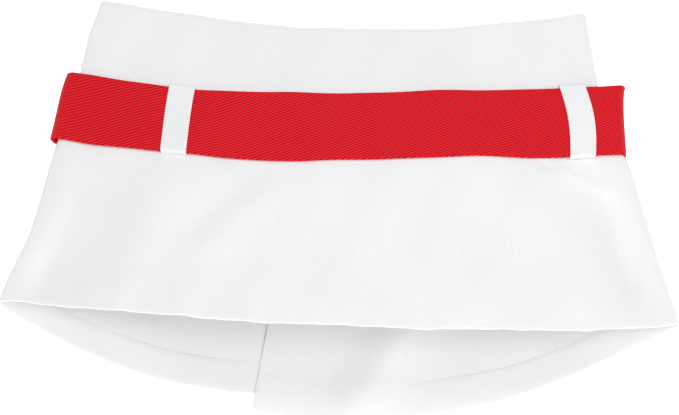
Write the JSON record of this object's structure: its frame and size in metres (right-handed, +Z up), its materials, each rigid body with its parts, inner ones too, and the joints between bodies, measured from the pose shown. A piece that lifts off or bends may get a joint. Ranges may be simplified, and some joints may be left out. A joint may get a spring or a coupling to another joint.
{
  "type": "cheer skirt",
  "caption": "Short flared white twill skirt with a plain yoke, a red belt threaded through loops and a wrap-over back, laid on its back.",
  "frame": {"origin": "on the table under the middle of the laid skirt's box", "axes": "+Z up out of the table, towards the front of the skirt; +Y towards the waist; +X towards the right side as seen from the front"},
  "size_m": [0.458, 0.316, 0.0856],
  "materials": {
    "white_twill": "white cotton-blend twill, matt, with a fine diagonal rib",
    "facing_cloth": "inner layer of the same white twill, matt",
    "red_twill": "bright red twill, matt, pressed folded edges",
    "hook_and_loop": "white hook-and-loop tape, fine pile"
  },
  "bodies": {
    "back_left": {"yoke_back_left": "white_twill", "yoke_facing_back_left": "facing_cloth", "skirt_back_left": "white_twill", "edge_facing_left": "facing_cloth", "belt_loop_back_left": "white_twill", "hook_tape_left": "hook_and_loop", "belt_back_left": "red_twill", "belt_hook_patch": "hook_and_loop"},
    "front": {"yoke_front": "white_twill", "yoke_facing_front": "facing_cloth", "skirt_front": "white_twill", "belt_front": "red_twill", "belt_loop_front_left": "white_twill", "belt_loop_front_right": "white_twill"},
    "back_right": {"yoke_back_right": "white_twill", "yoke_facing_back_right": "facing_cloth", "skirt_back_right": "white_twill", "edge_facing_right": "facing_cloth", "belt_loop_back_right": "white_twill", "loop_tape_right": "hook_and_loop", "belt_back_right": "red_twill", "belt_loop_patch": "hook_and_loop"}
  },
  "joints": [
    {"name": "left_side_fold", "type": "hinge", "parent": "back_left", "child": "front", "pos_m": [-0.1903, 0.09547, 0.0203], "axis": [-0.2005, -0.9746, 0.1], "range_deg": [0, 160]},
    {"name": "right_side_fold", "type": "hinge", "parent": "front", "child": "back_right", "pos_m": [0.1903, 0.09547, 0.0203], "axis": [0.2005, -0.9746, 0.1], "range_deg": [0, 80]}
  ],
  "couplings": [
    {"joint": "right_side_fold", "follows": "left_side_fold", "ratio": 0.5}
  ]
}
